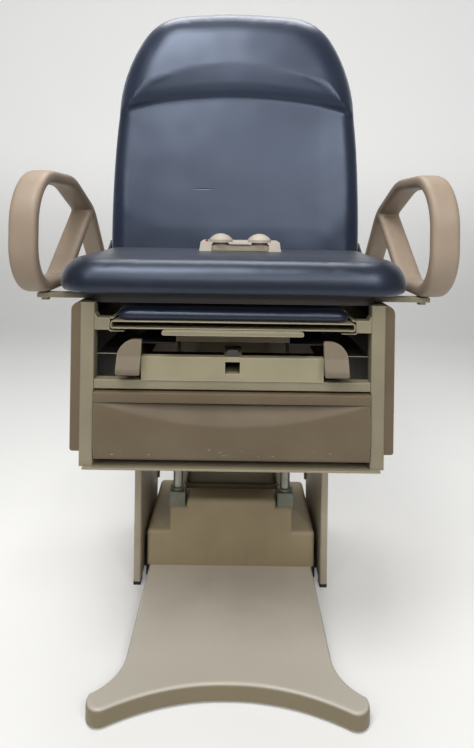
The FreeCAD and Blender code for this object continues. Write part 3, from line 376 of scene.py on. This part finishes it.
def skinned(name, rings, material):
    """A closed mesh through rings of points, with its two end rings filled."""
    shape = bmesh.new()
    made = [[shape.verts.new(point) for point in ring] for ring in rings]
    for one, two in zip(made, made[1:]):
        for i in range(len(one)):
            shape.faces.new((one[i - 1], one[i], two[i], two[i - 1]))
    shape.faces.new(made[0])
    shape.faces.new(made[-1])
    bmesh.ops.recalc_face_normals(shape, faces=shape.faces)
    mesh = bpy.data.meshes.new(name)
    shape.to_mesh(mesh)
    shape.free()
    mesh.materials.append(material)
    piece = bpy.data.objects.new(name, mesh)
    bpy.context.scene.collection.objects.link(piece)
    return piece


def shade_by_angle(piece, degrees):
    """Smooth shading that keeps folds sharper than this angle."""
    piece.data.shade_smooth()
    piece.data.set_sharp_from_angle(angle=math.radians(degrees))


def drawer_profile(x):
    """The front's section at one place across, from its lower back edge round to its upper back edge."""
    low, high = (Vector(corner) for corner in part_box("drawer_front"))
    strip = low.y + 0.002
    lip = high.z - GROOVE_DROP
    belly = low.z + FACE_BELLY
    points = [(high.y, low.z), (low.y + 0.012, low.z), (low.y + 0.0075, low.z + 0.0008)]
    start, end = low.z + 0.003, lip - 0.0006
    for step in range(FACE_STEPS + 1):
        z = start + (end - start) * step / FACE_STEPS
        face = low.y + FACE_LEAN * ((z - belly) / FACE_BELLY) ** 2
        reach = 1 - (x / SCOOP_HALF) ** 2 - (lip - z) / SCOOP_TALL
        points.append((face + SCOOP_DEEP * max(reach, 0.0), z))
    deep = points[-1][0]
    points += [(deep + 0.001, lip), (max(strip + 0.0025, low.y + 0.0045), lip),
               (strip + 0.0007, lip + 0.0007), (strip, lip + 0.0025), (strip, high.z - 0.004),
               (strip + 0.001, high.z - 0.0012), (strip + 0.0035, high.z), (high.y, high.z)]
    return points


def scuffed_brown(tone):
    """The brown of the covers, with pale flecks knocked out of it near the lower edge."""
    sockets = moulding(*COVER_TONES)(tone)
    height = tone.along("Z")
    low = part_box("drawer_front")[0][2]
    near = height.eased(low + 0.008, low + 0.012) * (1 - height.eased(low + 0.024, low + 0.03))
    flecks = tone.noise(tone.place((60, 60, 330)), 1.0, 3.0).eased(0.69, 0.73)
    sockets["Base Color"] = (flecks * near * 0.8).between(sockets["Base Color"], paint(172, 164, 146))
    return sockets


def drawer_face():
    """The front's sections set side by side, with its ends closed and their edges broken."""
    low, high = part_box("drawer_front")
    rings = []
    for step in range(FACE_COLUMNS + 1):
        x = low[0] + (high[0] - low[0]) * step / FACE_COLUMNS
        rings.append([(x, y, z) for y, z in drawer_profile(x)])
    face = skinned("drawer_face", rings, finish("scuffed_brown", scuffed_brown))
    shade_by_angle(face, 35)
    edges = face.modifiers.new("edges", "BEVEL")
    edges.width = 0.0016
    edges.segments = 3
    edges.limit_method = "ANGLE"
    edges.angle_limit = math.radians(70)
    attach(face, "drawer")
    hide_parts("drawer_front")


drawer_face()
dress(COVER_BROWN, "drawer_box")
ease_edges(0.0012, "drawer_box")


# Stirrups: square bars that pull out of tubes welded to the crossbar.
# Each has a moulded foot rest on its end, folded up against the tube's mouth.

STIRRUP_TAUPE = finish("stirrup_taupe", moulding(paint(115, 103, 86), paint(101, 90, 74)))
dress(STIRRUP_TAUPE, "stirrup_right", "stirrup_left")
ease_edges(0.004, "stirrup_right", "stirrup_left")
ease_edges(0.001, "stirrup_tubes")


# Seat: a foam pad under dark navy coated upholstery, drawn tight over a stained plywood board.
# The cover has a fine leather grain, is worn a little paler on top and dented by the hand control.

CREASE_SPOT = (-0.096, 1.108)         # a short crease in the back's cover, across and up
CREASE_HALF = 0.036
GRAIN_DEEP = 0.0002


def navy_vinyl(light, shade, sheen):
    """Coated cloth with a leather grain; on the back a short crease shows."""
    def build(tone):
        spot = tone.place()
        grain = tone.cells(spot, 620.0) + 0.5 * tone.cells(spot, 1300.0)
        cloud = tone.noise(spot, 5.0, 4.0).eased(0.3, 0.75)
        wear = tone.noise(tone.place((9, 9, 3)), 1.0, 6.0).eased(0.5, 0.8)
        colour = cloud.between(light, shade)
        colour = (wear * 0.25).between(colour, paint(44, 49, 64))
        aside = tone.maths("ABSOLUTE", tone.along("X") - CREASE_SPOT[0], 0)
        above = tone.maths("ABSOLUTE", tone.along("Z") - CREASE_SPOT[1], 0)
        crease = (1 - aside.eased(CREASE_HALF / 3, CREASE_HALF)) * (1 - above.eased(0.0, 0.003))
        relief = 0.16 * grain - 6 * crease + 60 * tone.noise(spot, 6.0, 1.0)
        return {"Base Color": colour, "Roughness": 0.34 + 0.05 * cloud + 0.05 * wear,
                "Normal": tone.bump(relief, GRAIN_DEEP, 0.5),
                "Specular IOR Level": 0.66, "Specular Tint": (0.68, 0.79, 1.0, 1.0),
                "Sheen Weight": sheen, "Sheen Roughness": 0.3, "Sheen Tint": (0.78, 0.86, 1.0, 1.0)}
    return build


# painted shade: the seat and the leg rest take the back's vinyl written much darker and with less sheen, for
# the shade their fronts lie in
SHADED_SEAT_VINYL = finish("seat_vinyl_painted_shade", navy_vinyl(paint(16, 20, 31), paint(12, 16, 26), 0.25))


def fix(piece):
    """Turn a piece's modifiers into its mesh."""
    depsgraph = bpy.context.evaluated_depsgraph_get()
    mesh = bpy.data.meshes.new_from_object(piece.evaluated_get(depsgraph))
    piece.modifiers.clear()
    piece.data = mesh


def remade(name, solid, voxel, smoothing, material):
    """An even mesh of a solid with every edge run smooth, which stands for the solid."""
    piece = bpy.data.objects.new(name, solids[solid].data.copy())
    bpy.context.scene.collection.objects.link(piece)
    remesh = piece.modifiers.new("even", "REMESH")
    remesh.mode = "VOXEL"
    remesh.voxel_size = voxel
    smooth = piece.modifiers.new("smooth", "SMOOTH")
    smooth.factor = 0.5
    smooth.iterations = smoothing
    fix(piece)
    piece.data.materials.clear()
    piece.data.materials.append(material)
    piece.data.shade_smooth()
    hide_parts(solid)
    return piece


STUFFING_PRESSURE = 4.0
STUFFING_FRAMES = 20
COVER_STIFFNESS = 20.0


def stuff(pad, swell):
    """Blow the skin up from inside for a few frames; no point moves further than swell."""
    scene = bpy.context.scene
    start = [vertex.co.copy() for vertex in pad.data.vertices]
    cloth = pad.modifiers.new("cloth", "CLOTH")
    cloth.settings.use_pressure = True
    cloth.settings.uniform_pressure_force = STUFFING_PRESSURE
    cloth.settings.effector_weights.gravity = 0.0
    cloth.settings.quality = 4
    cloth.settings.tension_stiffness = COVER_STIFFNESS
    cloth.settings.compression_stiffness = COVER_STIFFNESS
    cloth.settings.bending_stiffness = 2.0
    for number in range(1, STUFFING_FRAMES + 1):
        scene.frame_set(number)
    fix(pad)
    scene.frame_set(1)
    for vertex, rest in zip(pad.data.vertices, start):
        move = vertex.co - rest
        if move.length > swell:
            vertex.co = rest + move * (swell / move.length)


def lay_flat(pad, point, normal):
    """Press the side of a pad that rests on its board flat."""
    for vertex in pad.data.vertices:
        sunk = (vertex.co - point).dot(normal)
        if sunk < 0:
            vertex.co -= normal * sunk


def upholster(name, solid, body, voxel, smoothing, swell, board, vinyl):
    """A pad smoothed from its solid, swollen by its foam under a tight skin, flat on its board."""
    pad = remade(name, solid, voxel, smoothing, vinyl)
    stuff(pad, swell)
    lay_flat(pad, *board)
    divide = pad.modifiers.new("skin", "SUBSURF")
    divide.levels = 1
    divide.render_levels = 1
    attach(pad, body)
    return pad


UP = Vector((0, 0, 1))
PAD_VOXEL = 0.006
PAD_SWELL = 0.0022
seat_base = Vector(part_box("seat_cushion")[0])
seat = upholster("seat_upholstery", "seat_cushion", "upper_body", voxel=PAD_VOXEL, smoothing=8,
                 swell=PAD_SWELL, board=(seat_base, UP), vinyl=SHADED_SEAT_VINYL)


DENT_SLOPE = 0.25


def dent(pad, low, high):
    """Sink the skin under a box that lies on it, with slanting sides round the box."""
    for vertex in pad.data.vertices:
        spot = vertex.co
        away = max(low.x - spot.x, spot.x - high.x, low.y - spot.y, spot.y - high.y, 0.0)
        spot.z = min(spot.z, low.z + DENT_SLOPE * away)


control_low, control_high = (Vector(corner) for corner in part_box("control_housing"))
dent(seat, control_low, control_high)


def plywood(tone):
    rings = tone.noise(tone.place((3, 90, 90)), 1.0, 6.0)
    colour = rings.eased(0.3, 0.7).between(paint(40, 36, 34), paint(28, 25, 24))
    return {"Base Color": colour, "Roughness": 0.6 + 0.15 * rings, "Normal": tone.bump(rings, 0.0004, 0.3)}


dress(finish("stained_plywood", plywood), "seat_board", "back_board")
ease_edges(0.002, "seat_board", "back_board")


# Leg extension: a folded sheet sleeve in C-shaped guides, with a thin pad on top and a pull bar.
# The pad is foam under the seat's cover, and a shallow moulded pan slides below the sleeve.

LEG_PAD_VOXEL = 0.004
LEG_PAD_SWELL = 0.0015
leg_base = Vector(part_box("leg_pad")[0])
# painted shade: the leg rest's cover is the seat's darkened vinyl
upholster("leg_rest_upholstery", "leg_pad", "leg_extension", voxel=LEG_PAD_VOXEL, smoothing=4,
          swell=LEG_PAD_SWELL, board=(leg_base, UP), vinyl=SHADED_SEAT_VINYL)
dress(FRAME_BEIGE, "extension_guides", "extension_tray", "pull_bar")
dress(COVER_BROWN, "treatment_pan")
ease_edges(0.001, "extension_guides", "extension_tray", "treatment_pan")


# Back: the same foam and cover with a head pillow swelling out of it, on a board with steel arms.
# It turns on two pins at the rear of the seat, and a pair of gas springs holds it.

tilt = next(joint for joint in frame["record"]["behaviour"]["joints"] if joint["name"] == "back_tilt")
lean = Matrix.Rotation(math.radians(-tilt["range_deg"][0]), 3, "X")
hinge = Vector(tilt["pos_m"])
board_face = hinge + lean @ Vector((0, 0, seat_base.z - hinge.z))
BACK_VINYL = finish("back_vinyl", navy_vinyl(paint(29, 35, 50), paint(24, 29, 43), 0.55))
upholster("back_upholstery", "back_cushion", "backrest", voxel=PAD_VOXEL, smoothing=6,
          swell=PAD_SWELL, board=(board_face, lean @ UP), vinyl=BACK_VINYL)
dress(BLACK_PRIMER, "back_hinge_brackets", "back_arms", "gas_spring_barrels")
dress(GROUND_STEEL, "hinge_pins", "gas_spring_rods")
ease_edges(0.0012, "back_hinge_brackets", "back_arms")


# Assist rails: looped hand rails moulded in soft-skinned foam over a steel core, with no sharp edge.
# Flat steel bars under the seat carry them, and bolts from below hold them.

RAIL_SKIN = finish("rail_skin", moulding(paint(148, 131, 113), paint(132, 116, 99), 700.0))
RAIL_VOXEL = 0.0035
RAIL_SMOOTHING = 10
for side in ("right", "left"):
    rail = remade("grab_loop_" + side, "assist_rail_" + side, RAIL_VOXEL, RAIL_SMOOTHING, RAIL_SKIN)
    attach(rail, "upper_body")
dress(FRAME_BEIGE, "rail_bars")
dress(GROUND_STEEL, "rail_bolts")
ease_edges(0.0012, "rail_bars")


# Hand control: a loose satin moulding that lies on the seat, with two domed push buttons.
# A darker panel is let into its front, and a small red lamp sits beside the left button.

dress(finish("control_cream", moulding(paint(196, 187, 176), paint(182, 172, 160))), "control_housing")
BUTTON_CREAM = finish("button_cream", moulding(paint(174, 163, 148), paint(158, 147, 132)))
dress(BUTTON_CREAM, "button_up", "button_down")
ease_edges(0.004, "control_housing")
PANEL_OLIVE = finish("panel_olive", moulding(paint(156, 147, 127), paint(144, 135, 115)))
PANEL_HALF = (0.0705, 0.0077)
PANEL_CORNER = 0.004
PANEL_BACK = 0.0055                   # how far its face lies behind the housing's front
PANEL_MIDDLE = 0.0087                 # height of its middle above the seat


def rounded(half_x, half_z, radius, steps=6):
    """Points of a rounded rectangle across the front."""
    points = []
    for corner in range(4):
        turn = math.pi / 2 * corner
        centre_x = (half_x - radius) * (1 if corner in (0, 3) else -1)
        centre_z = (half_z - radius) * (1 if corner in (0, 1) else -1)
        for step in range(steps + 1):
            angle = turn + math.pi / 2 * step / steps
            points.append((centre_x + radius * math.cos(angle), centre_z + radius * math.sin(angle)))
    return points


def control_inset():
    """The let-in front panel."""
    middle = (control_low + control_high) / 2
    front = control_low.y + PANEL_BACK
    height = control_low.z + PANEL_MIDDLE
    rings = []
    for inset, depth in ((0, 0.0045), (0, 0.0012), (0.0004, 0.0004), (0.0014, 0)):
        rings.append([(middle.x + x, front + depth, height + z)
                      for x, z in rounded(*(half - inset for half in PANEL_HALF), PANEL_CORNER - inset)])
    inset_panel = skinned("control_inset", rings, PANEL_OLIVE)
    shade_by_angle(inset_panel, 50)
    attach(inset_panel, "control")


control_inset()


def red_lens(tone):
    swirl = tone.noise(tone.place(), 900.0).eased(0.3, 0.7)
    return {"Base Color": swirl.between(paint(120, 22, 20), paint(88, 14, 14)),
            "Roughness": 0.18 + 0.1 * swirl}


LENS_ASIDE = 0.0845                   # left of the housing's middle
LENS_BACK = 0.02
LENS_SINK = 0.001
LENS_SIDES = 20


def control_lamp():
    """A small domed lens on a collar."""
    middle_x = (control_low.x + control_high.x) / 2
    centre = Vector((middle_x - LENS_ASIDE, control_low.y + LENS_BACK, control_high.z - LENS_SINK))
    collar = [(0.0042, 0), (0.0042, 0.0025), (0.0036, 0.0028)]
    dome = [(0.0034, 0.0042), (0.0026, 0.0056), (0.0013, 0.0064), (0.0004, 0.0066)]
    rings = []
    for radius, rise in collar + dome:
        rings.append([centre + Vector((radius * math.cos(turn), radius * math.sin(turn), rise))
                      for turn in (math.tau * step / LENS_SIDES for step in range(LENS_SIDES))])
    lens = skinned("control_lamp", rings, finish("red_lens", red_lens))
    shade_by_angle(lens, 40)
    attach(lens, "control")


control_lamp()


# Studio: a sheet of pale paper for the floor, which runs up in a bend into a backdrop.
# Soft square lamps above and in front, two tall strips beside the camera, and the camera.

def studio_paper(tone):
    """Pale paper; what the camera and mirrors see of it is lifted towards white."""
    seen = (tone.node("LightPath", {}, {}, "Is Camera Ray") + tone.node("LightPath", {}, {}, "Is Glossy Ray")
            + tone.node("LightPath", {}, {}, "Is Transmission Ray"))
    lift = seen * (0.12 + 0.3 * tone.along("Z").eased(0.0, 2.0))
    grain = tone.noise(tone.place(), 2.0)
    return {"Base Color": grain.between(paint(232, 231, 228), paint(226, 225, 222)), "Roughness": 0.9,
            "Emission Color": lift.between((0, 0, 0, 1), (1, 1, 1, 1)), "Emission Strength": 1.0}


FLOOR_HALF = 9.0
FLOOR_FRONT = -6.0
BEND_START = 3.0
BEND_RADIUS = 1.5
BACKDROP_TOP = 7.0


def studio_floor():
    """The paper, as strips across from the front edge to the top of the backdrop."""
    mesh = bpy.data.meshes.new("studio_floor")
    shape = bmesh.new()
    rows = [(FLOOR_FRONT, 0.0), (BEND_START, 0.0)]
    for degrees in range(10, 91, 10):
        turn = math.radians(degrees)
        rows.append((BEND_START + BEND_RADIUS * math.sin(turn), BEND_RADIUS * (1 - math.cos(turn))))
    rows.append((BEND_START + BEND_RADIUS, BACKDROP_TOP))
    previous = None
    for y, z in rows:
        line = [shape.verts.new((x, y, z)) for x in (-FLOOR_HALF, FLOOR_HALF)]
        if previous:
            shape.faces.new((previous[0], previous[1], line[1], line[0]))
        previous = line
    shape.to_mesh(mesh)
    mesh.shade_smooth()
    floor = bpy.data.objects.new("studio_floor", mesh)
    bpy.context.scene.collection.objects.link(floor)
    floor.data.materials.append(finish("studio_paper", studio_paper))


studio_floor()


def lamp(name, place, aim, size, power):
    """A flat lamp that looks at a point, its second size upright."""
    light = bpy.data.lights.new(name, "AREA")
    light.shape = "RECTANGLE"
    light.size, light.size_y = size
    light.energy = power
    holder = bpy.data.objects.new(name, light)
    holder.location = place
    holder.rotation_euler = (Vector(aim) - Vector(place)).to_track_quat("-Z", "Y").to_euler()
    bpy.context.scene.collection.objects.link(holder)


lamp("key_lamp", (-0.5, -1.6, 3.3), (0, 0.05, 1.4), (1.2, 1.2), 60)
lamp("top_lamp", (0.0, 0.75, 3.3), (0, -0.1, 0.9), (2.0, 1.0), 44)
lamp("front_lamp", (0.1, -3.3, 2.5), (0, 0, 0.9), (2.0, 1.0), 29)
lamp("right_lamp", (1.23, -2.37, 2.45), (0.3, 0.06, 1.2), (0.35, 1.4), 24)
lamp("left_lamp", (-1.5, -2.25, 2.4), (-0.3, 0.06, 1.2), (0.3, 1.4), 14)

world = bpy.data.worlds.new("studio_air")
world.use_nodes = True
air = world.node_tree.nodes["Background"]
air.inputs["Color"].default_value = (0.9, 0.92, 0.95, 1)
air.inputs["Strength"].default_value = 0.22
bpy.context.scene.world = world
bpy.context.scene.view_settings.view_transform = "Standard"

IMAGE_LONG = 748
FOCAL_PIXELS = 520
HORIZON_PIXEL = 216
CAMERA_PLACE = (0.005, -1.491, 1.030)
CAMERA_ROLL = math.radians(0.8)
eye = bpy.data.cameras.new("photo_eye")
eye.sensor_width = 36.0
eye.lens = eye.sensor_width * FOCAL_PIXELS / IMAGE_LONG
eye.shift_y = HORIZON_PIXEL / IMAGE_LONG - 0.5
camera = bpy.data.objects.new("photo_eye", eye)
camera.matrix_world = (Matrix.Translation(CAMERA_PLACE) @ Matrix.Rotation(math.pi / 2, 4, "X")
                       @ Matrix.Rotation(CAMERA_ROLL, 4, "Z"))
bpy.context.scene.collection.objects.link(camera)
bpy.context.scene.camera = camera
